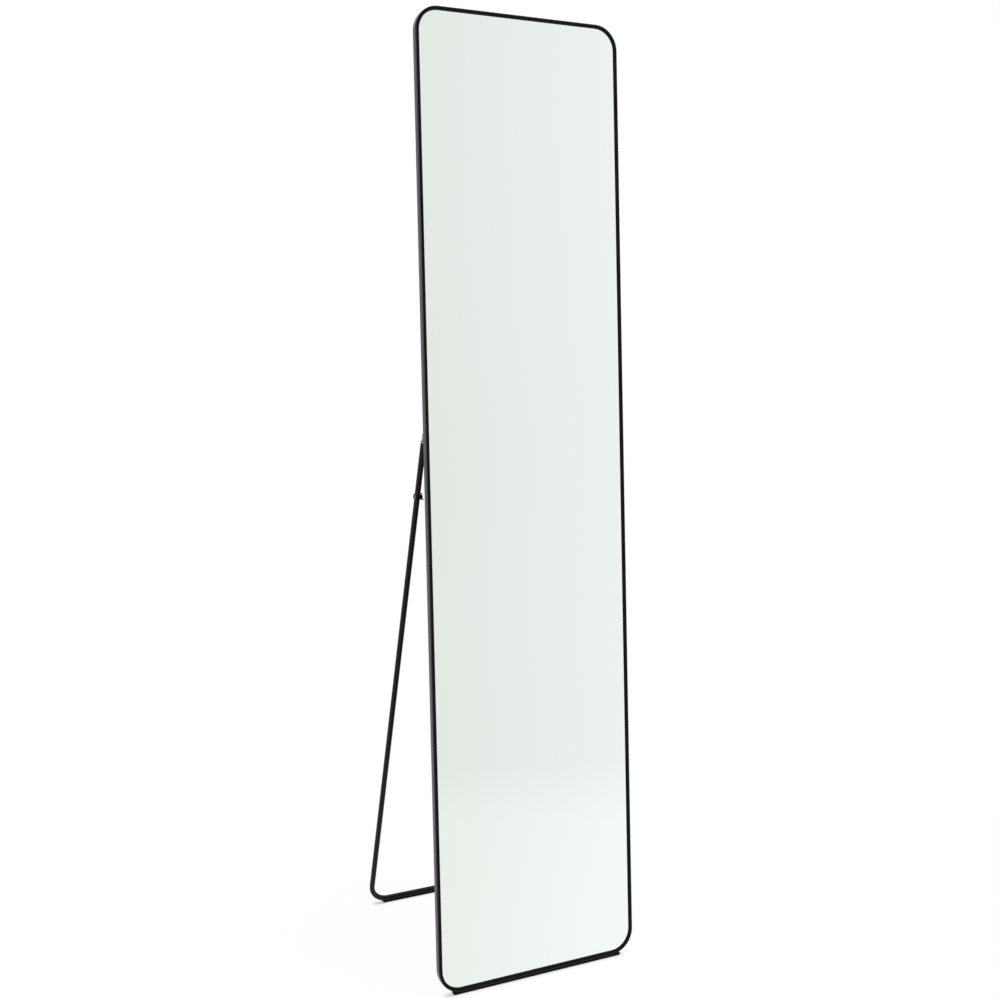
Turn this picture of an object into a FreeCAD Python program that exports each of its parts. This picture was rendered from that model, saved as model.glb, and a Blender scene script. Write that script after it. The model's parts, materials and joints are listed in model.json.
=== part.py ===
import FreeCAD, Part
import math
import os

import Sketcher

# A slim floor mirror that leans back on a hinged U-shaped tube stand.
# Left and right are as seen from the front. X runs to the right, Y to the back, Z up.
# The origin is on the floor, in the middle of the space that the whole mirror takes up.

doc = FreeCAD.newDocument("FloorMirror")
sheet = doc.addObject("Spreadsheet::Sheet", "Sizes")

SIZES = {
    # How far a through cut goes past what it cuts, both ends together
    "overrun": 1,
    # Panel: the framed mirror
    "frame_width": 350,
    "frame_height": 1500,
    "frame_depth": 10.5,
    "corner_radius": 38,
    "wall": 1.2,
    "lip_width": 5.8,
    "lip_thickness": 1.2,
    "flange_width": 14,
    "flange_thickness": 1.2,
    "edge_round": 2.0,
    "rim_bevel": 0.4,
    "seam_gap": 0.2,
    "pane_clearance": 0.4,
    "tape_width": 2.2,
    "tape_thickness": 1.0,
    "glass_thickness": 3,
    "board_thickness": 3,
    "lean_angle": 4.0,
    # Rubber strip under the panel
    "foot_inset": 24,
    "foot_set_back": 2,
    "foot_thickness": 3.8,
    # Plate that holds the two ends of the bent frame together
    "seam_plate_length": 72,
    "seam_plate_width": 11,
    "seam_plate_thickness": 1.2,
    "seam_plate_round": 2,
    "seam_screw_near": 11,
    "seam_screw_far": 27,
    # Pan-head screws
    "pan_head_radius": 2.6,
    "pan_head_height": 1.3,
    "screw_radius": 1.4,
    "screw_clearance": 0.1,
    # Gap around what turns or slides in
    "fit_clearance": 0.05,
    # Hinge brackets
    "pivot_height": 856,
    "leg_inset": 4.8,
    "bracket_width": 12,
    "bracket_rise": 19,
    "bracket_drop": 25,
    "bracket_thickness": 2,
    "bracket_round": 3,
    "bracket_screw_margin": 6,
    "bracket_screw_inset": 3,
    "ear_radius": 4.8,
    "ear_round": 4.2,
    "ear_thickness": 1.6,
    "washer_thickness": 0.5,
    "washer_radius": 4.2,
    "pin_radius": 2,
    "pin_head_radius": 3.4,
    "pin_head_height": 0.7,
    "pin_head_bevel": 0.3,
    "pin_end_radius": 3,
    "pin_end_height": 1,
    # Stand
    "opening_angle": 19.2,
    "tube_radius": 4.5,
    "tube_wall": 1,
    "fold_clearance": 0.6,
    "bend_radius": 34,
    "tongue_thickness": 3.4,
    "heel_length": 5,
    "heel_round": 3,
    "stop_gap": 0.02,
    "ear_gap": 0.5,
    "collar_height": 1.2,
    "plug_length": 14,
    "bolt_distance": 96,
    "joint_above_bolt": 8,
    "joint_gap": 0.1,
    "spigot_above": 14,
    "spigot_below": 18,
    # Clamp bolts and wing nuts
    "bolt_radius": 2,
    "bolt_head_radius": 5.2,
    "bolt_head_flat": 2.6,
    "bolt_head_height": 1.5,
    "bolt_head_rim": 0.5,
    "nut_radius": 4.4,
    "nut_height": 3.4,
    "nut_draft": 0.6,
    "wing_turn": 45,
    "wing_span": 11,
    "wing_root": 3,
    "wing_foot": 0.6,
    "wing_reach": 5.2,
    "wing_shoulder": 1.5,
    "wing_valley": 3,
    "wing_thickness": 2.4,
    "wing_round": 1.1,
    "bolt_tip": 0.5,
    # Rubber strip under the stand's floor bar
    "stand_foot_inset": 28,
    "stand_foot_thickness": 2,
    "stand_foot_width": 7,
    "stand_foot_wrap": 1.2,
}

for row, (alias, number) in enumerate(SIZES.items(), start=1):
    sheet.set(f"A{row}", alias)
    sheet.set(f"B{row}", str(number))
    sheet.setAlias(f"B{row}", alias)
doc.recompute()

# Small screws and their holes have this many flat sides, which keeps the model light.
SCREW_SIDES = 12


class Size:
    """A number together with the sheet formula that gives it."""

    def __init__(self, number, formula):
        self.number = number
        self.formula = formula

    def joined(self, other, sign, number):
        return Size(number, f"({self.formula} {sign} {as_size(other).formula})")

    def __add__(self, other):
        return self.joined(other, "+", self.number + as_size(other).number)

    def __sub__(self, other):
        return self.joined(other, "-", self.number - as_size(other).number)

    def __mul__(self, other):
        return self.joined(other, "*", self.number * as_size(other).number)

    def __truediv__(self, other):
        return self.joined(other, "/", self.number / as_size(other).number)

    def __neg__(self):
        return Size(-self.number, f"(-1 * {self.formula})")


def as_size(value):
    return value if isinstance(value, Size) else Size(value, str(value))


def cosine(angle):
    return Size(math.cos(math.radians(angle.number)), f"cos({angle.formula})")


def sine(angle):
    return Size(math.sin(math.radians(angle.number)), f"sin({angle.formula})")


def tangent(angle):
    return sine(angle) / cosine(angle)


class SheetSizes:
    """Each alias of the sheet, as a Size."""

    def __getattr__(self, alias):
        return Size(float(sheet.get(alias)), f"Sizes.{alias}")


size = SheetSizes()
zero = as_size(0)

# Where things meet

half_width = size.frame_width / 2
leg_angle = size.opening_angle - size.lean_angle

# The rubber foot tapers, so that it lies flat on the floor while the panel leans.
foot_back = size.frame_depth - size.foot_set_back
foot_floor = size.foot_thickness + foot_back * tangent(size.lean_angle)
panel_rise = foot_floor * cosine(size.lean_angle)

pane_inset = size.wall + size.pane_clearance
glass_front = size.lip_thickness + size.tape_thickness
foam_front = glass_front + size.glass_thickness
board_back = size.frame_depth - size.flange_thickness
board_front = board_back - size.board_thickness
bracket_face = size.frame_depth + size.bracket_thickness
heel_reach = size.tube_radius + size.fold_clearance
pivot_depth = bracket_face + heel_reach

pivot_y = pivot_depth * cosine(size.lean_angle) + size.pivot_height * sine(size.lean_angle)
pivot_z = panel_rise - pivot_depth * sine(size.lean_angle) + size.pivot_height * cosine(size.lean_angle)
bar_height = size.stand_foot_thickness + size.tube_radius
leg_length = (pivot_z - bar_height) / cosine(leg_angle)
bar_y = pivot_y + leg_length * sine(leg_angle)

# The front edge is rounded, so the panel's foremost point lies a hair behind its corner.
edge_shift = size.edge_round * (cosine(size.lean_angle) + sine(size.lean_angle) - 1)
front_y = -(bar_y + size.tube_radius + edge_shift) / 2

leg_x = half_width - size.leg_inset
tube_bore = size.tube_radius - size.tube_wall
collar_top = size.ear_radius + size.ear_gap
tube_top = collar_top + size.collar_height
joint_drop = size.bolt_distance - size.joint_above_bolt


def on_panel(x, y, z):
    """A point of the panel's own frame, whose origin is its front bottom edge, in the room."""
    return (
        x,
        front_y + y * cosine(size.lean_angle) + z * sine(size.lean_angle),
        panel_rise - y * sine(size.lean_angle) + z * cosine(size.lean_angle),
    )


def on_leg(x, drop):
    """A point of the stand, at a distance down the leg from the hinge, in the room."""
    return (
        x,
        front_y + pivot_y + drop * sine(leg_angle),
        pivot_z - drop * cosine(leg_angle),
    )


LEAN_AXIS = FreeCAD.Vector(-1, 0, 0)
LEG_AXIS = FreeCAD.Vector(1, 0, 0)


def place(piece, spot, axis, angle):
    piece.Placement = FreeCAD.Placement(FreeCAD.Vector(), FreeCAD.Rotation(axis, angle.number))
    for letter, coordinate in zip("xyz", spot):
        piece.setExpression(f"Placement.Base.{letter}", coordinate.formula)
    piece.setExpression("Placement.Rotation.Angle", angle.formula)


# Sketches and features

PLANE_SIGN = {"XY_Plane": 1, "XZ_Plane": -1, "YZ_Plane": 1}
pieces = []


def new_body(label):
    body = doc.addObject("PartDesign::Body", label)
    body.Label = label
    pieces.append(body)
    return body


def new_sketch(body, role, offset=zero):
    """A sketch on one of the body's origin planes, moved along the axis that the plane faces."""
    plane = next(item for item in body.Origin.OriginFeatures if item.Role == role)
    sketch = body.newObject("Sketcher::SketchObject", "Sketch")
    sketch.AttachmentSupport = [(plane, "")]
    sketch.MapMode = "FlatFace"
    shift = offset * PLANE_SIGN[role]
    sketch.AttachmentOffset = FreeCAD.Placement(
        FreeCAD.Vector(0, 0, shift.number), FreeCAD.Rotation()
    )
    sketch.setExpression("AttachmentOffset.Base.z", shift.formula)
    return sketch


def bind(sketch, kind, *parts, value):
    """A dimension of a sketch, bound to its formula."""
    index = sketch.addConstraint(Sketcher.Constraint(kind, *parts, value.number))
    sketch.setExpression(f"Constraints[{index}]", value.formula)


def pin_point(sketch, geometry, end, x, y):
    bind(sketch, "DistanceX", -1, 1, geometry, end, value=x)
    bind(sketch, "DistanceY", -1, 1, geometry, end, value=y)


def corner_arc(before, corner, after, radius):
    """The arc that rounds a corner, and whether it runs against the outline's direction."""
    back = (before - corner).normalize()
    ahead = (after - corner).normalize()
    half = back.getAngle(ahead) / 2
    reach = radius / math.tan(half)
    centre = corner + (back + ahead).normalize() * (radius / math.sin(half))
    start = corner + back * reach
    stop = corner + ahead * reach
    clockwise = back.cross(ahead).z > 0
    first, last = (stop, start) if clockwise else (start, stop)
    angles = [math.atan2((p - centre).y, (p - centre).x) for p in (first, last)]
    if angles[1] < angles[0]:
        angles[1] += 2 * math.pi
    circle = Part.Circle(centre, FreeCAD.Vector(0, 0, 1), radius)
    return Part.ArcOfCircle(circle, *angles), start, stop, clockwise


def outline(sketch, corners, closed=True):
    """Straight sides through the corners, each (x, y) or (x, y, radius), with round ones as arcs."""
    count = len(corners)
    spots = [FreeCAD.Vector(corner[0].number, corner[1].number, 0) for corner in corners]
    arcs = {}
    for index, corner in enumerate(corners):
        if len(corner) == 3:
            arcs[index] = corner_arc(
                spots[index - 1], spots[index], spots[(index + 1) % count], corner[2].number
            )
    sides = []
    for index in range(count if closed else count - 1):
        follower = (index + 1) % count
        start = arcs[index][2] if index in arcs else spots[index]
        stop = arcs[follower][1] if follower in arcs else spots[follower]
        sides.append(sketch.addGeometry(Part.LineSegment(start, stop)))
    for index, corner in enumerate(corners):
        incoming = sides[index - 1] if closed or index > 0 else None
        outgoing = sides[index] if closed or index < count - 1 else None
        if index in arcs:
            round_corner(sketch, corner, arcs[index], incoming, outgoing)
        elif outgoing is None:
            pin_point(sketch, incoming, 2, corner[0], corner[1])
        else:
            pin_point(sketch, outgoing, 1, corner[0], corner[1])
            if incoming is not None:
                sketch.addConstraint(Sketcher.Constraint("Coincident", incoming, 2, outgoing, 1))


def round_corner(sketch, corner, arc_parts, incoming, outgoing):
    """One arc between two sides that would meet at the corner's point."""
    arc, _, _, clockwise = arc_parts
    mark = sketch.addGeometry(Part.Point(FreeCAD.Vector(corner[0].number, corner[1].number, 0)), True)
    pin_point(sketch, mark, 1, corner[0], corner[1])
    curve = sketch.addGeometry(arc)
    first, last = (2, 1) if clockwise else (1, 2)
    sketch.addConstraint(Sketcher.Constraint("Tangent", incoming, 2, curve, first))
    sketch.addConstraint(Sketcher.Constraint("Tangent", curve, last, outgoing, 1))
    sketch.addConstraint(Sketcher.Constraint("PointOnObject", mark, 1, incoming))
    sketch.addConstraint(Sketcher.Constraint("PointOnObject", mark, 1, outgoing))
    bind(sketch, "Radius", curve, value=corner[2])


def circle(sketch, x, y, radius):
    centre = FreeCAD.Vector(x.number, y.number, 0)
    geometry = sketch.addGeometry(Part.Circle(centre, FreeCAD.Vector(0, 0, 1), radius.number))
    pin_point(sketch, geometry, 3, x, y)
    bind(sketch, "Radius", geometry, value=radius)


def rounded_rectangle(sketch, left, right, bottom, top, radius):
    outline(
        sketch,
        [(left, bottom, radius), (right, bottom, radius), (right, top, radius), (left, top, radius)],
    )


def extrude(body, kind, sketch, length, side="One side", reverse=False):
    """A pad or a pocket of a sketch. A pocket has to take material away."""
    before = body.Shape.Volume if kind == "PartDesign::Pocket" else None
    feature = body.newObject(kind, kind.split("::")[1])
    feature.Profile = sketch
    feature.Length = length.number
    feature.setExpression("Length", length.formula)
    feature.SideType = side
    feature.Reversed = reverse
    doc.recompute()
    if before is not None and not body.Shape.Volume < before:
        raise RuntimeError(f"{feature.Label} of {body.Label} cuts nothing")
    return feature


def pad(body, sketch, length, **options):
    return extrude(body, "PartDesign::Pad", sketch, length, **options)


def pocket(body, sketch, length, **options):
    return extrude(body, "PartDesign::Pocket", sketch, length, **options)


def revolve(body, sketch):
    """A full turn of a sketch about its own horizontal axis."""
    feature = body.newObject("PartDesign::Revolution", "Revolution")
    feature.Profile = sketch
    feature.ReferenceAxis = (sketch, ["H_Axis"])
    feature.Angle = 360
    doc.recompute()
    return feature


def sweep(body, section, path):
    feature = body.newObject("PartDesign::AdditivePipe", "Pipe")
    feature.Profile = section
    feature.Spine = path
    feature.Mode = "Frenet"
    doc.recompute()
    return feature


def on_panel_plane(piece):
    place(piece, on_panel(zero, zero, zero), LEAN_AXIS, size.lean_angle)


def panel_sheet(label, inset, front, thickness, window=None):
    """A flat layer of the panel with the frame's rounded outline, with or without a window."""
    body = new_body(label)
    sketch = new_sketch(body, "XZ_Plane", front)
    for margin in (inset, window):
        if margin is not None:
            rounded_rectangle(
                sketch,
                margin - half_width,
                half_width - margin,
                margin,
                size.frame_height - margin,
                size.corner_radius - margin,
            )
    pad(body, sketch, thickness, reverse=True)
    on_panel_plane(body)


# Screws

seam_screw_z = size.wall + size.seam_plate_width / 2
screw_hole_radius = size.screw_radius + size.screw_clearance


def many_sided(x, y, radius):
    """The corners of a regular polygon that stands for a small circle."""
    turns = [as_size(360 * step / SCREW_SIDES) for step in range(SCREW_SIDES)]
    return [(x + radius * cosine(turn), y + radius * sine(turn)) for turn in turns]


def screw_hole(sketch, x, y, radius):
    outline(sketch, many_sided(x, y, radius))


def screw_rod(radius, seat, length):
    """A many-sided rod that starts at the seat's depth and runs to the back."""
    corners = [
        FreeCAD.Vector(across.number, seat.number, along.number)
        for across, along in many_sided(zero, zero, radius)
    ]
    end = Part.Face(Part.makePolygon(corners + corners[:1]))
    return end.extrude(FreeCAD.Vector(0, length.number, 0))


def screw_group(label, places, seat, grip):
    """Pan-head screws as separate solids. The heads lie on the seat, the shanks fill the grip."""
    head = screw_rod(size.pan_head_radius, seat, size.pan_head_height)
    shank = screw_rod(size.screw_radius, seat, -grip)
    screw = head.fuse(shank).removeSplitter()
    group = doc.addObject("Part::Feature", label)
    group.Label = label
    group.Shape = Part.makeCompound(
        [screw.translated(FreeCAD.Vector(x.number, 0, z.number)) for x, z in places]
    )
    on_panel_plane(group)
    pieces.append(group)


# The bracket's plate starts at the flange's inner edge. Its screws lie clear of the folded tube.
bracket_centre = half_width - size.flange_width + size.bracket_width / 2
bracket_screw_x = half_width - size.flange_width + size.bracket_screw_inset
bracket_screw_top = size.bracket_rise - size.bracket_screw_margin
bracket_screw_low = size.bracket_screw_margin - size.bracket_drop


# Frame: one section bent into a ring

def make_frame():
    body = new_body("frame_profile")
    section = new_sketch(body, "YZ_Plane", size.seam_gap / 2)
    inner_back = size.frame_depth - size.flange_thickness
    outline(
        section,
        [
            (zero, zero, size.edge_round),
            (size.frame_depth - size.rim_bevel, zero),
            (size.frame_depth, size.rim_bevel),
            (size.frame_depth, size.flange_width),
            (inner_back, size.flange_width),
            (inner_back, size.wall),
            (size.lip_thickness, size.wall),
            (size.lip_thickness, size.lip_width),
            (size.rim_bevel, size.lip_width),
            (zero, size.lip_width - size.rim_bevel),
        ],
    )
    path = new_sketch(body, "XZ_Plane")
    bend = size.corner_radius
    outline(
        path,
        [
            (size.seam_gap / 2, zero),
            (half_width, zero, bend),
            (half_width, size.frame_height, bend),
            (-half_width, size.frame_height, bend),
            (-half_width, zero, bend),
            (-size.seam_gap / 2, zero),
        ],
        closed=False,
    )
    sweep(body, section, path)
    holes = new_sketch(body, "XZ_Plane", size.frame_depth - size.flange_thickness / 2)
    for side in (-1, 1):
        for reach in (size.seam_screw_near, size.seam_screw_far):
            screw_hole(holes, reach * side, seam_screw_z, screw_hole_radius)
        for rise in (bracket_screw_top, bracket_screw_low):
            screw_hole(holes, bracket_screw_x * side, size.pivot_height + rise, screw_hole_radius)
    pocket(body, holes, size.flange_thickness + size.overrun, side="Symmetric")
    on_panel_plane(body)


def make_seam_plate():
    body = new_body("seam_plate")
    plate = new_sketch(body, "XZ_Plane", size.frame_depth)
    rounded_rectangle(
        plate,
        -size.seam_plate_length / 2,
        size.seam_plate_length / 2,
        size.wall,
        size.wall + size.seam_plate_width,
        size.seam_plate_round,
    )
    pad(body, plate, size.seam_plate_thickness, reverse=True)
    holes = new_sketch(body, "XZ_Plane", size.frame_depth + size.seam_plate_thickness / 2)
    for side in (-1, 1):
        for reach in (size.seam_screw_near, size.seam_screw_far):
            screw_hole(holes, reach * side, seam_screw_z, screw_hole_radius)
    pocket(body, holes, size.seam_plate_thickness + size.overrun, side="Symmetric")
    on_panel_plane(body)


def make_panel_foot():
    body = new_body("foot_strip")
    section = new_sketch(body, "YZ_Plane")
    outline(
        section,
        [
            (size.foot_set_back, zero),
            (foot_back, zero),
            (foot_back, -size.foot_thickness),
            (size.foot_set_back, size.foot_set_back * tangent(size.lean_angle) - foot_floor),
        ],
    )
    pad(body, section, size.frame_width - size.foot_inset * 2, side="Symmetric")
    on_panel_plane(body)


# Hinges. Inward is +1 on the left side and -1 on the right.

tongue_half = size.tongue_thickness / 2
ear_start = tongue_half + size.washer_thickness + size.fit_clearance * 2
ear_end = ear_start + size.ear_thickness


def make_bracket(side, inward):
    body = new_body(f"{side}_hinge_bracket")
    plate = new_sketch(body, "XZ_Plane")
    centre = (leg_x - bracket_centre) * inward
    rounded_rectangle(
        plate,
        centre - size.bracket_width / 2,
        centre + size.bracket_width / 2,
        -size.bracket_drop,
        size.bracket_rise,
        size.bracket_round,
    )
    pad(body, plate, size.bracket_thickness, reverse=True)
    ear = new_sketch(body, "YZ_Plane", (ear_start + size.ear_thickness / 2) * inward)
    root = size.bracket_thickness / 2
    hinge = size.bracket_thickness + heel_reach
    outline(
        ear,
        [
            (root, -size.ear_radius),
            (hinge + size.ear_radius, -size.ear_radius, size.ear_round),
            (hinge + size.ear_radius, size.ear_radius, size.ear_round),
            (root, size.ear_radius),
        ],
    )
    pad(body, ear, size.ear_thickness, side="Symmetric")
    bore = new_sketch(body, "YZ_Plane", (ear_start + size.ear_thickness / 2) * inward)
    circle(bore, hinge, zero, size.pin_radius + size.fit_clearance / 2)
    pocket(body, bore, size.ear_thickness + size.overrun, side="Symmetric")
    shanks = new_sketch(body, "XZ_Plane", size.bracket_thickness / 2)
    for rise in (bracket_screw_top, bracket_screw_low):
        screw_hole(shanks, (leg_x - bracket_screw_x) * inward, rise, screw_hole_radius)
    pocket(body, shanks, size.bracket_thickness + size.overrun, side="Symmetric")
    place(body, on_panel(leg_x * -inward, size.frame_depth, size.pivot_height), LEAN_AXIS, size.lean_angle)


def make_pin(side, inward):
    body = new_body(f"{side}_hinge_pin")
    profile = new_sketch(body, "XZ_Plane")
    head_seat = -(tongue_half + size.fit_clearance)
    head_top = head_seat - size.pin_head_height
    end_seat = ear_end + size.fit_clearance
    tip = end_seat + size.pin_end_height
    outline(
        profile,
        [
            (head_top * inward, zero),
            (head_top * inward, size.pin_head_radius - size.pin_head_bevel),
            ((head_top + size.pin_head_bevel) * inward, size.pin_head_radius),
            (head_seat * inward, size.pin_head_radius),
            (head_seat * inward, size.pin_radius),
            (end_seat * inward, size.pin_radius),
            (end_seat * inward, size.pin_end_radius),
            (tip * inward, size.pin_end_radius),
            (tip * inward, zero),
        ],
    )
    revolve(body, profile)
    place(body, on_panel(leg_x * -inward, pivot_depth, size.pivot_height), LEAN_AXIS, size.lean_angle)


def make_washer(side, inward):
    body = new_body(f"{side}_hinge_washer")
    centre = (tongue_half + size.fit_clearance + size.washer_thickness / 2) * inward
    ring = new_sketch(body, "YZ_Plane", centre)
    circle(ring, zero, zero, size.washer_radius)
    circle(ring, zero, zero, size.pin_radius + size.fit_clearance)
    pad(body, ring, size.washer_thickness, side="Symmetric")
    place(body, on_panel(leg_x * -inward, pivot_depth, size.pivot_height), LEAN_AXIS, size.lean_angle)


# Stand

def make_leg_end(side, inward):
    """Plug with a flat tongue. Its heel meets the bracket's plate when the stand is open."""
    body = new_body(f"{side}_leg_end")
    reach = heel_reach - size.stop_gap
    width = size.tube_radius
    heel_foot = (reach - width * cosine(size.opening_angle)) / sine(size.opening_angle)
    heel_top = heel_foot + size.heel_length
    heel_front = (heel_top * sine(size.opening_angle) - reach) / cosine(size.opening_angle)
    tongue = new_sketch(body, "YZ_Plane")
    outline(
        tongue,
        [
            (-width, -collar_top),
            (width, -collar_top),
            (width, heel_top, size.heel_round),
            (heel_front, heel_top),
            (-width, heel_foot),
        ],
    )
    pad(body, tongue, size.tongue_thickness, side="Symmetric")
    collar = new_sketch(body, "XY_Plane", -collar_top)
    circle(collar, zero, zero, size.tube_radius)
    pad(body, collar, size.collar_height, reverse=True)
    plug = new_sketch(body, "XY_Plane", -tube_top)
    circle(plug, zero, zero, tube_bore - size.fit_clearance)
    pad(body, plug, size.plug_length, reverse=True)
    bore = new_sketch(body, "YZ_Plane")
    circle(bore, zero, zero, size.pin_radius + size.fit_clearance)
    pocket(body, bore, size.tongue_thickness + size.overrun, side="Symmetric")
    place(body, on_leg(leg_x * -inward, zero), LEG_AXIS, leg_angle)


def make_upper_tube(side, inward):
    body = new_body(f"{side}_upper_tube")
    ring = new_sketch(body, "XY_Plane", -tube_top)
    circle(ring, zero, zero, size.tube_radius)
    circle(ring, zero, zero, tube_bore)
    pad(body, ring, joint_drop - tube_top, reverse=True)
    place(body, on_leg(leg_x * -inward, zero), LEG_AXIS, leg_angle)


def make_spigot(side, inward):
    body = new_body(f"{side}_spigot")
    top = size.spigot_above - joint_drop
    rod = new_sketch(body, "XY_Plane", top)
    circle(rod, zero, zero, tube_bore - size.fit_clearance)
    pad(body, rod, size.spigot_above + size.spigot_below, reverse=True)
    bore = new_sketch(body, "YZ_Plane")
    circle(bore, zero, -size.bolt_distance, size.bolt_radius + size.fit_clearance)
    pocket(body, bore, tube_bore * 2 + size.overrun, side="Symmetric")
    place(body, on_leg(leg_x * -inward, zero), LEG_AXIS, leg_angle)


def make_u_tube():
    """One bent tube. Its bends and floor bar are left solid, because nothing opens into them."""
    body = new_body("u_tube")
    top = -(joint_drop + size.joint_gap)
    disc = new_sketch(body, "XY_Plane", top)
    circle(disc, -leg_x, zero, size.tube_radius)
    path = new_sketch(body, "XZ_Plane")
    outline(
        path,
        [
            (-leg_x, top),
            (-leg_x, -leg_length, size.bend_radius),
            (leg_x, -leg_length, size.bend_radius),
            (leg_x, top),
        ],
        closed=False,
    )
    sweep(body, disc, path)
    hollows = new_sketch(body, "XY_Plane", top)
    for side in (-1, 1):
        circle(hollows, leg_x * side, zero, tube_bore)
    pocket(body, hollows, top + leg_length - size.bend_radius)
    bore = new_sketch(body, "YZ_Plane")
    circle(bore, zero, -size.bolt_distance, size.bolt_radius + size.screw_clearance)
    pocket(body, bore, (leg_x + size.tube_radius) * 2 + size.overrun, side="Symmetric")
    place(body, on_leg(zero, zero), LEG_AXIS, leg_angle)


def make_stand_foot():
    body = new_body("stand_foot_strip")
    section = new_sketch(body, "YZ_Plane")
    half = size.stand_foot_width / 2
    top = size.stand_foot_thickness + size.stand_foot_wrap
    outline(section, [(-half, zero), (half, zero), (half, top), (-half, top)])
    length = size.frame_width - size.stand_foot_inset * 2
    pad(body, section, length, side="Symmetric")
    groove = new_sketch(body, "YZ_Plane")
    circle(groove, zero, bar_height, size.tube_radius + size.fit_clearance)
    pocket(body, groove, length + size.overrun, side="Symmetric")
    place(body, (zero, front_y + bar_y, zero), LEG_AXIS, zero)


# Clamp: a low-headed bolt outside and a wing nut inside, both against the tube

def make_bolt(side, inward):
    body = new_body(f"{side}_clamp_bolt")
    profile = new_sketch(body, "XZ_Plane")
    crown = size.tube_radius + size.bolt_head_height
    rim = size.tube_radius + size.bolt_head_rim
    tip = size.tube_radius + size.nut_height + size.bolt_tip
    outline(
        profile,
        [
            (crown * -inward, zero),
            (crown * -inward, size.bolt_head_flat),
            (rim * -inward, size.bolt_head_radius),
            (size.tube_radius * -inward, size.bolt_head_radius),
            (size.tube_radius * -inward, size.bolt_radius),
            (tip * inward, size.bolt_radius),
            (tip * inward, zero),
        ],
    )
    revolve(body, profile)
    place(body, on_leg(leg_x * -inward, size.bolt_distance), LEG_AXIS, leg_angle)


def make_wing_nut(side, inward):
    body = new_body(f"{side}_wing_nut")
    hub = new_sketch(body, "XZ_Plane")
    top = size.tube_radius + size.nut_height
    outline(
        hub,
        [
            (size.tube_radius * inward, zero),
            (size.tube_radius * inward, size.nut_radius),
            (top * inward, size.nut_radius - size.nut_draft),
            (top * inward, zero),
        ],
    )
    revolve(body, hub)
    wings = new_sketch(body, "XZ_Plane")
    half = size.wing_span / 2
    foot = (size.tube_radius + size.wing_foot) * inward
    reach = (size.tube_radius + size.wing_reach) * inward
    shoulder = (size.tube_radius + size.wing_shoulder) * inward
    valley = (size.tube_radius + size.wing_valley) * inward
    outline(
        wings,
        [
            (foot, -size.wing_root),
            (shoulder, -half),
            (reach, -half, size.wing_round),
            (reach, -size.wing_root),
            (valley, zero),
            (reach, size.wing_root),
            (reach, half, size.wing_round),
            (shoulder, half),
            (foot, size.wing_root),
        ],
    )
    pad(body, wings, size.wing_thickness, side="Symmetric")
    bore = new_sketch(body, "YZ_Plane")
    circle(bore, zero, zero, size.bolt_radius + size.fit_clearance / 2)
    pocket(body, bore, (size.tube_radius + size.wing_reach) * 2 + size.overrun, side="Symmetric")
    # The wings stand askew to the tube, with the lower one towards the front.
    spot = on_leg(leg_x * -inward, size.bolt_distance)
    place(body, spot, LEAN_AXIS, size.wing_turn - leg_angle)


# The whole mirror

make_frame()
make_seam_plate()
tape_inner = pane_inset + size.tape_width
panel_sheet("glazing_tape", pane_inset, size.lip_thickness, size.tape_thickness, tape_inner)
panel_sheet("mirror_glass", pane_inset, glass_front, size.glass_thickness)
panel_sheet("foam_sheet", pane_inset, foam_front, board_front - foam_front)
panel_sheet("back_board", pane_inset, board_front, size.board_thickness)
make_panel_foot()

seam_screws = [
    (reach * side, seam_screw_z)
    for side in (-1, 1)
    for reach in (size.seam_screw_near, size.seam_screw_far)
]
seam_grip = size.seam_plate_thickness + size.flange_thickness
seam_seat = size.frame_depth + size.seam_plate_thickness
screw_group("seam_screws", seam_screws, seam_seat, seam_grip)

bracket_grip = size.bracket_thickness + size.flange_thickness
for side, inward in (("left", 1), ("right", -1)):
    make_bracket(side, inward)
    bracket_screws = [
        (bracket_screw_x * -inward, size.pivot_height + rise)
        for rise in (bracket_screw_top, bracket_screw_low)
    ]
    screw_group(f"{side}_bracket_screws", bracket_screws, bracket_face, bracket_grip)
    make_pin(side, inward)
    make_washer(side, inward)
    make_leg_end(side, inward)
    make_upper_tube(side, inward)
    make_spigot(side, inward)
    make_bolt(side, inward)
    make_wing_nut(side, inward)

make_u_tube()
make_stand_foot()

doc.recompute()

failed = [item.Label for item in doc.Objects if {"Invalid", "Error"} & set(item.State)]
if failed:
    raise RuntimeError("failed: " + ", ".join(failed))
for piece in pieces:
    if piece.Shape.isNull() or not piece.Shape.isValid() or not piece.Shape.Solids:
        raise RuntimeError(f"{piece.Label} has no valid shape")

os.makedirs("parts", exist_ok=True)
for piece in pieces:
    piece.Shape.exportStep(f"parts/{piece.Label}.step")

whole = Part.makeCompound([piece.Shape for piece in pieces]).BoundBox
print(f"{len(pieces)} pieces, {whole.XLength:.2f} x {whole.YLength:.2f} x {whole.ZLength:.2f} mm")
print(f"box Y {whole.YMin:.3f} to {whole.YMax:.3f}, Z from {whole.ZMin:.3f}")
print(f"hinge axis at y {front_y.number + pivot_y.number:.4f}, z {pivot_z.number:.4f}")
print(f"floor bar at y {front_y.number + bar_y.number:.3f}, leg length {leg_length.number:.2f}")
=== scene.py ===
"""A floor mirror on a folding stand: a tall glass in a slim black frame that
leans on a U-shaped stand of round tube."""

import json
from math import cos, pi, radians, sin

import bmesh
import bpy
from mathutils import Matrix, Vector


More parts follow.
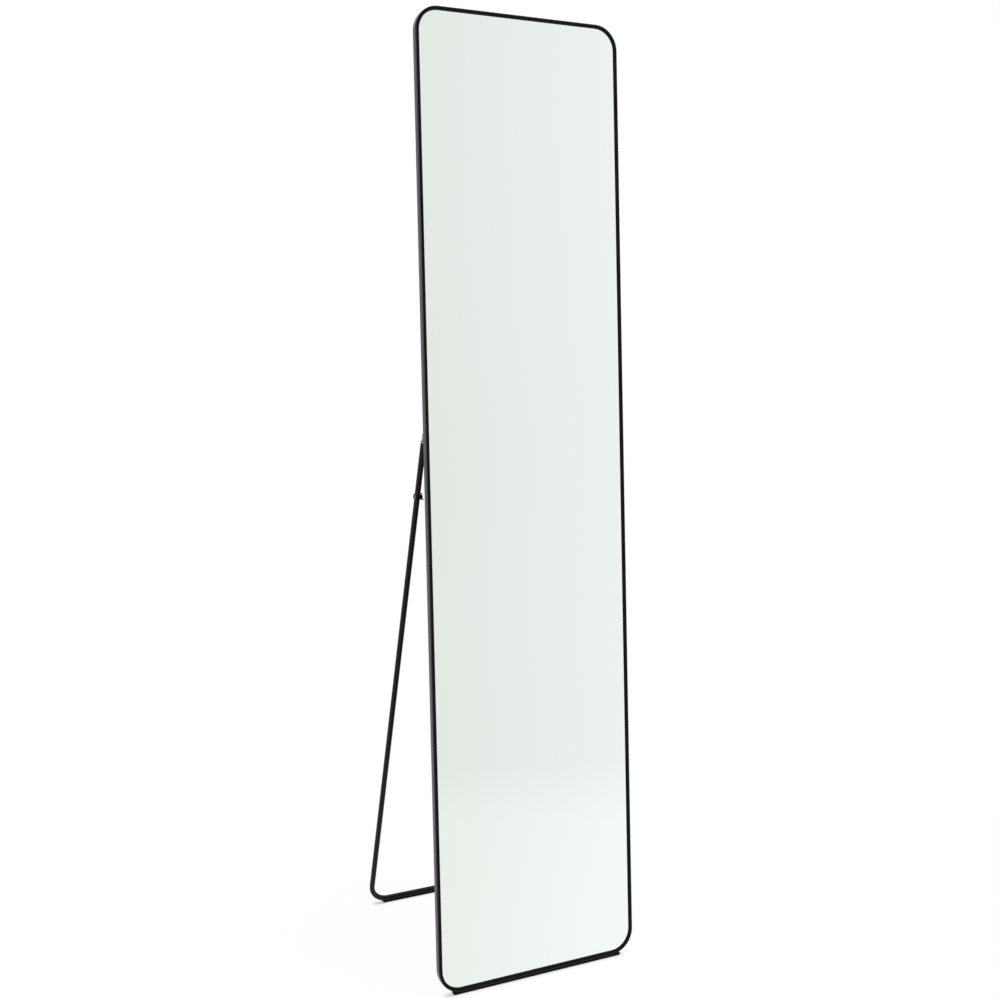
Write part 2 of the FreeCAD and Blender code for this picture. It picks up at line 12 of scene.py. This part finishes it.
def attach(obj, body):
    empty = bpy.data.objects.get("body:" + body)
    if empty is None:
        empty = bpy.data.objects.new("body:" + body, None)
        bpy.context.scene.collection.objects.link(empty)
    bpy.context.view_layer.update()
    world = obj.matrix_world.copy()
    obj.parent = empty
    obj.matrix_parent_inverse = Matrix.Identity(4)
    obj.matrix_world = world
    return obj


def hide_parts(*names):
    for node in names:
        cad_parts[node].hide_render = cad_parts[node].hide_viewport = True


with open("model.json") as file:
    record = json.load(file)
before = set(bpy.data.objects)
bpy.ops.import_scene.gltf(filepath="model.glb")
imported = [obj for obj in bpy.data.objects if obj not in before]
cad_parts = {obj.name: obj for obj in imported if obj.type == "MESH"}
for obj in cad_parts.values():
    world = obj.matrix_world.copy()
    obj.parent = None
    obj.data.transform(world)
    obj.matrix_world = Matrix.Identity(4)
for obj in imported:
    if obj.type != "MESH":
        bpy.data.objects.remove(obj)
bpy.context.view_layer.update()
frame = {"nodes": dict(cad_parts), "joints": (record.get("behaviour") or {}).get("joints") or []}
nodes = frame["nodes"]
scene = bpy.context.scene

# Camera
# The mirror is seen from its front left, from a metre up and looking slightly down, so that
# the left rail shows its side and the stand shows past it.
look_down = 6.15
look_right = 22.257
camera = bpy.data.objects.new("camera", bpy.data.cameras.new("camera"))
camera.data.lens = 40.259
camera.data.shift_x = 0.1061
camera.data.shift_y = -0.0472
camera.location = (-0.8515, -1.6235, 1.0171)
camera.rotation_euler = (radians(90 - look_down), 0, radians(-look_right))
scene.collection.objects.link(camera)
scene.camera = camera
scene.view_settings.view_transform = "Standard"

# Floor and surroundings
# A seamless floor of white studio paper under a pale, even sky of light. Both show as white
# to the eye and nearly so in reflections, and the floor keeps the mirror's shadow.


class Finish:
    """A socket in a material's nodes. Sums on it add Math nodes, and node() adds any other."""

    def __init__(self, tree, socket=None):
        self.tree = tree
        self.socket = socket

    def node(self, kind, settings, sockets, output=None):
        made = self.tree.nodes.new(kind)
        for name, value in settings.items():
            setattr(made, name, value)
        for name, value in sockets.items():
            target = next(s for s in made.inputs if s.enabled and name in (s.name, s.identifier))
            if isinstance(value, Finish):
                self.tree.links.new(value.socket, target)
            else:
                target.default_value = value
        given = [s for s in made.outputs if s.enabled and output in (None, s.name)]
        return Finish(self.tree, given[0]) if given else None

    def sum(self, operation, *values):
        sockets = dict(zip(("Value", "Value_001"), values))
        return self.node("ShaderNodeMath", {"operation": operation}, sockets)

    def __add__(self, other):
        return self.sum("ADD", self, other)

    def __radd__(self, other):
        return self.sum("ADD", other, self)

    def __sub__(self, other):
        return self.sum("SUBTRACT", self, other)

    def __rsub__(self, other):
        return self.sum("SUBTRACT", other, self)

    def __mul__(self, other):
        return self.sum("MULTIPLY", self, other)

    def __rmul__(self, other):
        return self.sum("MULTIPLY", other, self)

    def __gt__(self, other):
        return self.sum("GREATER_THAN", self, other)

    def __lt__(self, other):
        return self.sum("LESS_THAN", self, other)

    def __abs__(self):
        return self.sum("ABSOLUTE", self)

    def limited(self):
        """Held between 0 and 1."""
        return self.node("ShaderNodeClamp", {}, {"Value": self})

    def split(self, axis):
        return self.node("ShaderNodeSeparateXYZ", {}, {"Vector": self}, axis)

    def stretched(self, scale):
        given = {"Vector": self, "Vector_001": scale}
        return self.node("ShaderNodeVectorMath", {"operation": "MULTIPLY"}, given)

    def noise(self, scale, detail=2.0, roughness=0.5):
        given = {"Vector": self, "Scale": scale, "Detail": detail, "Roughness": roughness}
        return self.node("ShaderNodeTexNoise", {}, given, "Fac")

    def blend(self, first, second):
        """Between two colours, this value being the second one's share."""
        given = {"Factor": self, "A": first, "B": second}
        return self.node("ShaderNodeMix", {"data_type": "RGBA"}, given)

    def relief(self, height):
        """A fine relief, this value in units of height metres."""
        given = {"Height": self, "Distance": height, "Strength": 1.0}
        return self.node("ShaderNodeBump", {}, given)

    def coordinate(self, kind):
        """Object is the place on the piece, and Normal is the way that its surface faces."""
        return self.node("ShaderNodeTexCoord", {}, {}, kind)

    def rays(self):
        """What is seen by the eye, what is mirrored, and what is seen through glass."""
        names = ("Is Camera Ray", "Is Glossy Ray", "Is Transmission Ray")
        return [self.node("ShaderNodeLightPath", {}, {}, name) for name in names]

    def skin(self, sockets):
        """Closes a material with one surface shader."""
        surface = self.node("ShaderNodeBsdfPrincipled", {}, sockets)
        self.node("ShaderNodeOutputMaterial", {}, {"Surface": surface})


def new_finish(name):
    """A material without nodes, and the start to add them from."""
    material = bpy.data.materials.new(name)
    material.use_nodes = True
    material.node_tree.nodes.clear()
    return material, Finish(material.node_tree)


def grey(value):
    return (value, value, value, 1.0)


floor_half = 60.0
floor_mesh = bmesh.new()
bmesh.ops.create_grid(floor_mesh, x_segments=1, y_segments=1, size=floor_half)
floor_data = bpy.data.meshes.new("floor")
floor_mesh.to_mesh(floor_data)
floor_mesh.free()
floor = bpy.data.objects.new("floor", floor_data)
scene.collection.objects.link(floor)

# The paper shows its own light and shade along the two rubber strips, which lie strip_depth
# before and behind the middle, and is plain white from contact_width on.
paper_white = 0.97
strip_depth = 0.152
contact_width = 0.0125
contact_half = 0.155
contact_shift = 0.004
contact_share = 0.15
open_share = 0.79
far_share = 0.06
far_start, far_slope = 0.45, 1.2
# Mirrored, it is a little off white, with a painted pool of light that makes it brighter within
# about a metre of the middle.
mirrored_white = 0.94
light_pool_extra = 0.055
pool_start, pool_slope = 0.918, 1.95

floor_paper, start = new_finish("floor_paper")
seen, mirrored, passed = start.rays()
spot = start.coordinate("Object")
distance = start.node("ShaderNodeVectorMath", {"operation": "LENGTH"}, {"Vector": spot}, "Value")
far = ((distance - far_start) * far_slope).limited()
past_end = (abs(spot.split("X") + contact_shift) - contact_half).limited()
from_strips = abs(abs(spot.split("Y")) - strip_depth) + past_end
plain = (from_strips * (1.0 / contact_width)).limited()
share = contact_share + open_share * plain + far_share * far
# A painted pool of light in the floor's glow, seen only in reflections.
painted_light_pool = light_pool_extra * (1.0 - (pool_slope * (distance - pool_start)).limited())
white = mirrored_white + (1.0 - mirrored_white) * (seen + passed).limited() + mirrored * painted_light_pool
matt = start.node("ShaderNodeBsdfDiffuse", {}, {"Color": grey(paper_white)})
glow = start.node("ShaderNodeEmission", {}, {"Color": grey(1.0), "Strength": white})
mixed = {"Fac": (seen + mirrored + passed).limited() * share, "Shader": matt, "Shader_001": glow}
shown = start.node("ShaderNodeMixShader", {}, mixed)
start.node("ShaderNodeOutputMaterial", {}, {"Surface": shown})
floor_data.materials.append(floor_paper)

sky_light = 0.6
sky = bpy.data.worlds.new("sky")
sky.use_nodes = True
sky.node_tree.nodes.clear()
scene.world = sky
start = Finish(sky.node_tree)
seen, mirrored, passed = start.rays()
strength = sky_light + (1.0 - sky_light) * (seen + passed) + (mirrored_white - sky_light) * mirrored
light = start.node("ShaderNodeBackground", {}, {"Color": grey(1.0), "Strength": strength})
start.node("ShaderNodeOutputWorld", {}, {"Surface": light})


def soft_lamp(name, place, aim, width, height, power):
    data = bpy.data.lights.new(name, "AREA")
    data.shape = "RECTANGLE"
    data.size = width
    data.size_y = height
    data.energy = power
    lamp = bpy.data.objects.new(name, data)
    lamp.location = place
    lamp.rotation_euler = (Vector(aim) - Vector(place)).to_track_quat("-Z", "Y").to_euler()
    scene.collection.objects.link(lamp)


middle = (0.0, 0.0, 0.8)
soft_lamp("overhead", (1.0, -0.3, 3.3), middle, width=2.4, height=2.4, power=58.0)
soft_lamp("left_window", (-2.6, -0.9, 1.2), middle, width=1.6, height=2.3, power=40.0)

# Frame
# One slim channel of black anodised aluminium, bent round the glass and closed under the
# bottom rail. It has the extrusion's fine draw lines, and its outer side is glossier.
upright_from = 0.160
low_rail_to = 0.05
across_grain, along_grain = 2600.0, 9.0
one_over_half_width = 5.7
new_black = (0.002, 0.002, 0.0022, 1.0)
worn_black = (0.005, 0.005, 0.0052, 1.0)


def dress(material, *names):
    """The finish goes on these nodes of the solid model."""
    for name in names:
        nodes[name].data.materials.clear()
        nodes[name].data.materials.append(material)


frame_black, start = new_finish("black_anodised")
place = start.coordinate("Object")
facing = start.coordinate("Normal")
upright = abs(place.split("X")) > upright_from
upright_lines = place.stretched((across_grain, across_grain, along_grain)).noise(1.0, 3.0)
level_lines = place.stretched((along_grain, across_grain, across_grain)).noise(1.0, 3.0)
lines = upright_lines * upright + level_lines * (1.0 - upright)
cloud = place.noise(7.0, 3.0)
worn = (0.6 * lines + 0.4 * cloud).limited()
under = (0.0 - facing.split("Z")) * (place.split("Z") < low_rail_to)
outward = one_over_half_width * facing.split("X") * place.split("X") + under
start.skin(
    {
        "Base Color": worn.blend(new_black, worn_black),
        "Roughness": 0.24 + 0.10 * lines + 0.06 * cloud,
        "IOR": 1.15,
        "Coat Weight": (5.0 * outward - 1.2).limited(),
        "Coat Roughness": 0.25,
        "Coat IOR": 1.34,
        "Normal": lines.relief(0.000004),
    }
)
dress(frame_black, "frame_profile")

# Glass
# A sheet of float glass with its silver on the back, under a grey protective paint, and a
# seamed edge that the frame hides. The glass gives its faint green to what it mirrors.
# The mirrored colour is painted darker on the left and lighter on the right, with soft uneven
# patches: painted shade over the glass's own faint green.
shaded_left_tint = (0.800, 0.853, 0.793, 1.0)
lit_right_tint = (0.912, 0.962, 0.952, 1.0)
shade_slope, shade_middle = 2.0, 0.33
front_limit = -0.9
silvered, start = new_finish("silvered_glass")
place = start.coordinate("Object")
silver = start.coordinate("Normal").split("Y") < front_limit
# Painted shade: uneven patches and a left-to-right ramp in the silver's colour.
uneven_shade = 0.35 * place.noise(1.7, 2.0)
shade_across = (uneven_shade + shade_slope * place.split("X") + shade_middle).limited()
back_paint = place.noise(140.0, 3.0).blend((0.20, 0.23, 0.24, 1.0), (0.25, 0.28, 0.29, 1.0))
start.skin(
    {
        "Base Color": silver.blend(back_paint, shade_across.blend(shaded_left_tint, lit_right_tint)),
        "Metallic": silver,
        "Roughness": 0.55 - 0.54 * silver,
        "IOR": 1.52,
    }
)
dress(silvered, "mirror_glass")

# Glazing tape
# A closed-cell foam tape, stuck behind the frame's front lip. The glass lies against it, so
# that it doesn't rattle.
tape_foam, start = new_finish("tape_foam")
cells = start.coordinate("Object").noise(2600.0, 2.0)
start.skin(
    {
        "Base Color": cells.blend(grey(0.012), grey(0.028)),
        "Roughness": 0.78 + 0.15 * cells,
        "Normal": cells.relief(0.00005),
    }
)
dress(tape_foam, "glazing_tape")

# Foam sheet
# A thin sheet of white polyethylene foam between the glass and the board, which cushions the
# back of the glass.
white_foam, start = new_finish("white_foam")
cells = start.coordinate("Object").noise(900.0, 3.0)
start.skin(
    {
        "Base Color": cells.blend((0.74, 0.74, 0.72, 1.0), (0.86, 0.86, 0.84, 1.0)),
        "Roughness": 0.6 + 0.2 * cells,
        "Normal": cells.relief(0.00008),
    }
)
dress(white_foam, "foam_sheet")

# Back board
# Thin hardboard, painted matt black with a roller. It closes the back, and the frame's rear
# flange holds it.
painted_board, start = new_finish("painted_board")
place = start.coordinate("Object")
fibres = place.stretched((1.0, 1.0, 0.45)).noise(420.0, 4.0, 0.65)
stipple = place.noise(1300.0, 2.0)
patches = place.noise(5.0, 3.0)
start.skin(
    {
        "Base Color": (0.5 * fibres + 0.5 * patches).limited().blend(grey(0.020), grey(0.048)),
        "Roughness": 0.55 + 0.18 * fibres + 0.08 * patches,
        "Normal": (0.6 * fibres + 0.4 * stipple).relief(0.00012),
    }
)
dress(painted_board, "back_board")

# Seam plate and spigots
# A strip of zinc-plated steel on the back of the bottom rail holds the frame's two ends
# together. The plugs inside the stand's joints have the same plating.
zinc, start = new_finish("zinc_plating")
place = start.coordinate("Object")
spangle = place.noise(320.0, 3.0)
scuffs = place.stretched((60.0, 900.0, 900.0)).noise(1.0, 2.0)
start.skin(
    {
        "Base Color": spangle.blend((0.44, 0.45, 0.46, 1.0), (0.60, 0.60, 0.59, 1.0)),
        "Metallic": 1.0,
        "Roughness": 0.28 + 0.16 * spangle + 0.10 * scuffs,
        "Normal": scuffs.relief(0.000006),
    }
)
dress(zinc, "seam_plate", "left_spigot", "right_spigot")

# Cross-headed screws
# Zinc-plated steel screws with a pan head and a cross recess, all driven from behind. Four
# hold the seam plate on the frame, and two hold each hinge bracket.
lean = 4.0
panel_foot = (0.0, -0.1564992, 0.0043837)
panel_place = Matrix.Translation(panel_foot) @ Matrix.Rotation(radians(-lean), 4, "X")
millimetres = Matrix.Scale(0.001, 4)
screw_sides = 12
tip_length = 0.4
recess_reach = 1.28
recess_corner = 0.50
# Radius and height in millimetres, from the shank up and round the head's edge
pan_head = [
    (1.40, -0.10),
    (1.40, 0.0),
    (2.40, 0.0),
    (2.66, 0.0),
    (2.72, 0.10),
    (2.72, 0.50),
    (2.45, 0.98),
    (1.95, 1.26),
    (1.62, 1.33),
    (1.50, 1.34),
]
# Height, and the cross's share of its full width there, from the head's top down
recess_steps = [(1.34, 1.0), (1.26, 0.98), (0.75, 0.66), (0.68, 0.50)]


def grow(mesh, faces):
    """Extrudes these faces and gives the new ones."""
    made = bmesh.ops.extrude_face_region(mesh, geom=faces)["geom"]
    return [item for item in made if isinstance(item, bmesh.types.BMFace)]


def raise_ring(mesh, face, height, radius=None):
    """Extrudes an end face to a height and, where given, a radius."""
    face = grow(mesh, [face])[0]
    for corner in face.verts:
        corner.co.z = height
        if radius is not None:
            corner.co.xy = corner.co.xy.normalized() * radius
    return face


def settle(name, mesh, material, body, *stands_for):
    """The finished mesh becomes a smooth piece on a body, in place of these nodes."""
    bmesh.ops.recalc_face_normals(mesh, faces=mesh.faces)
    data = bpy.data.meshes.new(name)
    mesh.to_mesh(data)
    mesh.free()
    data.polygons.foreach_set("use_smooth", [True] * len(data.polygons))
    data.materials.append(material)
    piece = bpy.data.objects.new(name, data)
    scene.collection.objects.link(piece)
    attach(piece, body)
    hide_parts(*stands_for)
    return piece


def soften(piece, levels):
    rounding = piece.modifiers.new("rounding", "SUBSURF")
    rounding.levels = levels
    rounding.render_levels = levels


def pan_screws(name, node, grip, seats):
    """Screws of one grip length, each put on its (across, depth, height, turn) on the panel."""
    mesh = bmesh.new()
    tip = Matrix.Translation((0.0, 0.0, -grip)) @ Matrix.Rotation(pi / screw_sides, 4, "Z")
    bmesh.ops.create_circle(mesh, cap_ends=True, segments=screw_sides, radius=1.0, matrix=tip)
    end = mesh.faces[:][0]
    end.normal_update()
    shank = pan_head[0][0]
    for radius, height in [(shank, tip_length - grip), *pan_head]:
        end = raise_ring(mesh, end, height, radius)
    for height, share in recess_steps:
        end = raise_ring(mesh, end, height)
        in_turn = sorted(end.verts, key=lambda item: item.co.xy.angle_signed(Vector((1.0, 0.0))))
        for index, corner in enumerate(in_turn):
            reach = recess_corner if index % 3 == 1 else recess_reach
            corner.co.xy = corner.co.xy.normalized() * reach * share
    whole = mesh.verts[:] + mesh.edges[:] + mesh.faces[:]
    copies = [mesh.verts[:]]
    for _ in seats[1:]:
        made = bmesh.ops.duplicate(mesh, geom=whole)["geom"]
        copies.append([item for item in made if isinstance(item, bmesh.types.BMVert)])
    for corners, (shade_across, depth, height, turn) in zip(copies, seats):
        seat = Matrix.Translation((shade_across, depth, height)) @ Matrix.Rotation(radians(-90.0), 4, "X")
        driven = panel_place @ seat @ Matrix.Rotation(radians(turn), 4, "Z") @ millimetres
        bmesh.ops.transform(mesh, matrix=driven, verts=corners)
    piece = settle(name, mesh, zinc, "mirror_panel", node)
    soften(piece, 2)


seam_grip = 2.4
seam_depth = 0.0117
seam_rise = 0.0067
seam_places = ((-0.027, 8.0), (-0.011, 61.0), (0.011, 33.0), (0.027, 74.0))
seam_seats = [(shade_across, seam_depth, seam_rise, turn) for shade_across, turn in seam_places]
pan_screws("seam_pan_screws", "seam_screws", seam_grip, seam_seats)

bracket_grip = 3.2
bracket_depth = 0.0125
bracket_rises = (0.869, 0.837)
for side, shade_across, turns in (("left", -0.164, (22.0, 80.0)), ("right", 0.164, (51.0, 5.0))):
    seats = [(shade_across, bracket_depth, rise, turn) for rise, turn in zip(bracket_rises, turns)]
    pan_screws(f"{side}_pan_screws", f"{side}_bracket_screws", bracket_grip, seats)

# Rubber strips
# Strips of soft black rubber under the bottom rail and round the stand's floor bar, with
# rounded ends. The rail's strip is cut to a taper, so that it lies flat on the floor.
end_round, end_steps = 3.0, 6
edge_round, edge_steps = 0.35, 2
taper_allowance = 0.6
sharp_angle = 0.9
rubber, start = new_finish("black_rubber")
place = start.coordinate("Object")
grain = place.noise(1900.0, 3.0)
dust = place.noise(60.0, 3.0)
start.skin(
    {
        "Base Color": (0.3 * grain + 0.7 * dust).limited().blend(grey(0.003), grey(0.009)),
        "Roughness": 0.66 + 0.2 * grain,
        "IOR": 1.15,
        "Normal": grain.relief(0.00003),
    }
)


def round_edges(mesh, edges, radius, segments):
    bmesh.ops.bevel(
        mesh,
        geom=edges,
        offset=radius,
        segments=segments,
        profile=0.5,
        affect="EDGES",
        material=-1,
    )


def rubber_strip(name, node, body, half_length, section, seat):
    """A strip along X with this cross-section, in millimetres, and its lower ends rounded."""
    mesh = bmesh.new()
    near_end = mesh.faces.new([mesh.verts.new((-half_length, y, z)) for y, z in section])
    far_end = grow(mesh, [near_end])[0]
    bmesh.ops.translate(mesh, vec=(2.0 * half_length, 0.0, 0.0), verts=far_end.verts)
    bmesh.ops.recalc_face_normals(mesh, faces=mesh.faces)
    low_line = min(z for _, z in section) + taper_allowance

    def low_end(edge):
        first, second = edge.verts
        return max(first.co.z, second.co.z) < low_line and abs(first.co.x - second.co.x) < 0.1

    round_edges(mesh, [edge for edge in mesh.edges if low_end(edge)], end_round, end_steps)
    manifold = [edge for edge in mesh.edges if edge.is_manifold]
    sharp = [edge for edge in manifold if edge.calc_face_angle() > sharp_angle]
    round_edges(mesh, sharp, edge_round, edge_steps)
    bmesh.ops.transform(mesh, matrix=seat @ millimetres, verts=mesh.verts)
    piece = settle(name, mesh, rubber, body, node)


rail_strip_half = 151.0
rail_front, rail_back = 2.0, 8.5
back_thickness, front_thickness = 3.8, 4.2545
rail_strip = [
    (rail_front, 0.0),
    (rail_back, 0.0),
    (rail_back, -back_thickness),
    (rail_front, -front_thickness),
]
rubber_strip(
    "panel_rubber", "foot_strip", "mirror_panel", rail_strip_half, rail_strip, panel_place
)

bar_strip_half = 147.0
bar_depth = 0.151864
bar_middle = 6.5
groove_radius = 4.55
half_width, rim_height = 3.5, 3.2
groove = [
    (groove_radius * sin(radians(angle)), bar_middle - groove_radius * cos(radians(angle)))
    for angle in (-43.5, -30.0, -15.0, 0.0, 15.0, 30.0, 43.5)
]
front_rim = [(-half_width, 0.0), (-half_width, rim_height)]
back_rim = [(half_width, rim_height), (half_width, 0.0)]
bar_strip = [*front_rim, *groove, *back_rim]
bar_place = Matrix.Translation((0.0, bar_depth, 0.0))
rubber_strip("bar_rubber", "stand_foot_strip", "stand", bar_strip_half, bar_strip, bar_place)

# Hinge brackets and leg ends
# Pressed steel brackets on the back of each upright, and cast plugs with a flat tongue in
# the stand's upper tubes. Both have a dull grey zinc finish.
bracket_zinc, start = new_finish("dull_zinc")
cloud = start.coordinate("Object").noise(260.0, 3.0)
start.skin(
    {
        "Base Color": cloud.blend((0.20, 0.205, 0.21, 1.0), (0.29, 0.29, 0.29, 1.0)),
        "Metallic": 0.6,
        "Roughness": 0.42 + 0.14 * cloud,
        "Normal": cloud.relief(0.00001),
    }
)
dress(bracket_zinc, "left_hinge_bracket", "right_hinge_bracket", "left_leg_end", "right_leg_end")

# Hinge pins
# Steel rivets with the same dull zinc, on which the stand turns. Each has a low domed head
# outside and an end that is spread over the bracket's ear.
hinge = Vector(frame["joints"][0]["pos_m"])
leg_across = {"left": Vector((-0.1702, 0.0, 0.0)), "right": Vector((0.1702, 0.0, 0.0))}
outward_turn = {
    "left": Matrix.Rotation(radians(-90.0), 4, "Y"),
    "right": Matrix.Rotation(radians(90.0), 4, "Y"),
}
round_sides = 40
break_width, break_angle = 0.00012, 40.0
# Radius and height in millimetres, from the spread end out to the head
pin_profile = [
    (0.0, -4.95),
    (1.7, -4.88),
    (2.6, -4.60),
    (3.0, -4.25),
    (3.0, -3.95),
    (2.0, -3.95),
    (2.0, 1.75),
    (3.4, 1.75),
    (3.4, 1.95),
    (3.0, 2.22),
    (2.0, 2.40),
    (0.0, 2.45),
]


def turned(name, node, body, material, seat, profile):
    """A round piece, turned from a profile in millimetres along its own axis."""
    mesh = bmesh.new()
    chain = [mesh.verts.new((radius, 0.0, height)) for radius, height in profile]
    edges = [mesh.edges.new(pair) for pair in zip(chain, chain[1:])]
    bmesh.ops.spin(
        mesh,
        geom=chain + edges,
        cent=(0.0, 0.0, 0.0),
        axis=(0.0, 0.0, 1.0),
        angle=2.0 * pi,
        steps=round_sides,
        use_merge=True,
    )
    bmesh.ops.remove_doubles(mesh, verts=mesh.verts, dist=0.001)
    bmesh.ops.transform(mesh, matrix=seat @ millimetres, verts=mesh.verts)
    piece = settle(name, mesh, material, body, node)
    edge_break = piece.modifiers.new("edge_break", "BEVEL")
    edge_break.width = break_width
    edge_break.segments = 2
    edge_break.angle_limit = radians(break_angle)


for side, shade_across in leg_across.items():
    seat = Matrix.Translation(hinge + shade_across) @ outward_turn[side]
    turned(
        f"{side}_domed_pin",
        f"{side}_hinge_pin",
        "mirror_panel",
        bracket_zinc,
        seat,
        pin_profile,
    )

# Hinge washers
# Natural nylon washers on the pins, which keep the stand's legs off their brackets and let
# them turn without a squeak.
nylon, start = new_finish("natural_nylon")
cloud = start.coordinate("Object").noise(400.0, 2.0)
start.skin(
    {
        "Base Color": cloud.blend((0.66, 0.64, 0.59, 1.0), (0.74, 0.72, 0.67, 1.0)),
        "Roughness": 0.4 + 0.1 * cloud,
    }
)
dress(nylon, "left_hinge_washer", "right_hinge_washer")

# Stand
# Round steel tube, powder-coated satin black: a short upper tube on each side and one
# long U with its bar on the floor.
powder, start = new_finish("black_powder_coat")
place = start.coordinate("Object")
orange_peel = place.noise(1100.0, 2.0)
cloud = place.noise(16.0, 3.0)
start.skin(
    {
        "Base Color": cloud.blend(grey(0.003), grey(0.006)),
        "Roughness": 0.32 + 0.10 * orange_peel + 0.06 * cloud,
        "IOR": 1.24,
        "Normal": orange_peel.relief(0.00003),
    }
)
dress(powder, "u_tube", "left_upper_tube", "right_upper_tube")

# Clamp bolts
# A black-oxide steel bolt with a low domed head goes through each leg's joint from outside.
# The joint lies clamp_distance down the leg from its hinge.
clamp_distance = 0.096
leg_angle = radians(15.2)
clamp = hinge + clamp_distance * Vector((0.0, sin(leg_angle), -cos(leg_angle)))
# Radius and height in millimetres, from the head's top in to the tip
bolt_profile = [
    (0.0, 6.00),
    (1.6, 5.93),
    (3.0, 5.70),
    (4.2, 5.32),
    (4.9, 4.98),
    (5.2, 4.70),
    (5.2, 4.50),
    (2.0, 4.50),
    (2.0, -8.00),
    (1.7, -8.40),
    (0.0, -8.40),
]
black_oxide, start = new_finish("black_oxide")
cloud = start.coordinate("Object").noise(420.0, 3.0)
start.skin(
    {
        "Base Color": cloud.blend(grey(0.05), grey(0.10)),
        "Metallic": 0.8,
        "Roughness": 0.30 + 0.12 * cloud,
        "Normal": cloud.relief(0.00001),
    }
)
for side, shade_across in leg_across.items():
    seat = Matrix.Translation(clamp + shade_across) @ outward_turn[side]
    turned(
        f"{side}_domed_bolt",
        f"{side}_clamp_bolt",
        "stand",
        black_oxide,
        seat,
        bolt_profile,
    )

# Wing nuts
# Black moulded wing nuts on the inside of each leg's joint. They are tightened by hand when
# the stand is put together.
wing_turn = Matrix.Rotation(radians(-29.8), 4, "X")
inward_turn = {"left": outward_turn["right"], "right": outward_turn["left"]}
tube_radius = 0.0045
nut_sides = 8
nut_foot_radius = 4.5
lower_wall, upper_wall = (0.3, 1.4), (1.4, 3.0)
# Radius and height in millimetres, up the outside and down into the bore
nut_rings = [(4.6, 0.15), (4.5, 1.4), (4.2, 3.1), (3.8, 3.4), (2.9, 3.42), (2.3, 3.3), (2.15, 1.8)]
# Reach, lower edge, upper edge and half thickness of each wing, from its root out
wing_steps = [
    (4.4, 0.8, 4.6, 1.3),
    (5.0, 1.2, 5.2, 1.25),
    (5.4, 1.5, 5.3, 1.2),
    (5.55, 1.8, 5.0, 1.0),
]
moulded, start = new_finish("moulded_black")
cloud = start.coordinate("Object").noise(500.0, 2.0)
start.skin(
    {
        "Base Color": cloud.blend(grey(0.009), grey(0.016)),
        "Roughness": 0.24 + 0.10 * cloud,
        "Normal": cloud.relief(0.00002),
    }
)


def nut_side(mesh, way, low, high):
    """The nut's side face between two heights, on its left (-1) or its right (1)."""
    beside = Vector((5.0 * way, 0.0, 1.5))
    sides = [
        face
        for face in mesh.faces
        if len(face.verts) == 4 and low < face.calc_center_median().z < high
    ]
    return min(sides, key=lambda face: (face.calc_center_median() - beside).length)


def draw_wing(mesh, way, root):
    """Draws one wing out of the nut's side, step by step."""
    for reach, lower, upper, half_thickness in wing_steps:
        root = grow(mesh, root)
        corners = {corner for face in root for corner in face.verts}
        lowest = min(corner.co.z for corner in corners)
        tallest = max(corner.co.z for corner in corners)
        for corner in corners:
            rise = (corner.co.z - lowest) / (tallest - lowest)
            y = half_thickness if corner.co.y > 0.0 else -half_thickness
            corner.co = (reach * way, y, lower + (upper - lower) * rise)


for side, shade_across in leg_across.items():
    mesh = bmesh.new()
    flat_side_out = Matrix.Rotation(pi / nut_sides, 4, "Z")
    bmesh.ops.create_circle(
        mesh, cap_ends=True, segments=nut_sides, radius=nut_foot_radius, matrix=flat_side_out
    )
    top = mesh.faces[:][0]
    for radius, height in nut_rings:
        top = raise_ring(mesh, top, height, radius)
    roots = [
        (way, [nut_side(mesh, way, *wall) for wall in (lower_wall, upper_wall)])
        for way in (-1.0, 1.0)
    ]
    for way, root in roots:
        draw_wing(mesh, way, root)
    joint = Matrix.Translation(clamp + shade_across) @ wing_turn @ inward_turn[side]
    seat = joint @ Matrix.Translation((0.0, 0.0, tube_radius))
    bmesh.ops.transform(mesh, matrix=seat @ millimetres, verts=mesh.verts)
    piece = settle(f"{side}_moulded_nut", mesh, moulded, "stand", f"{side}_wing_nut")
    soften(piece, 3)
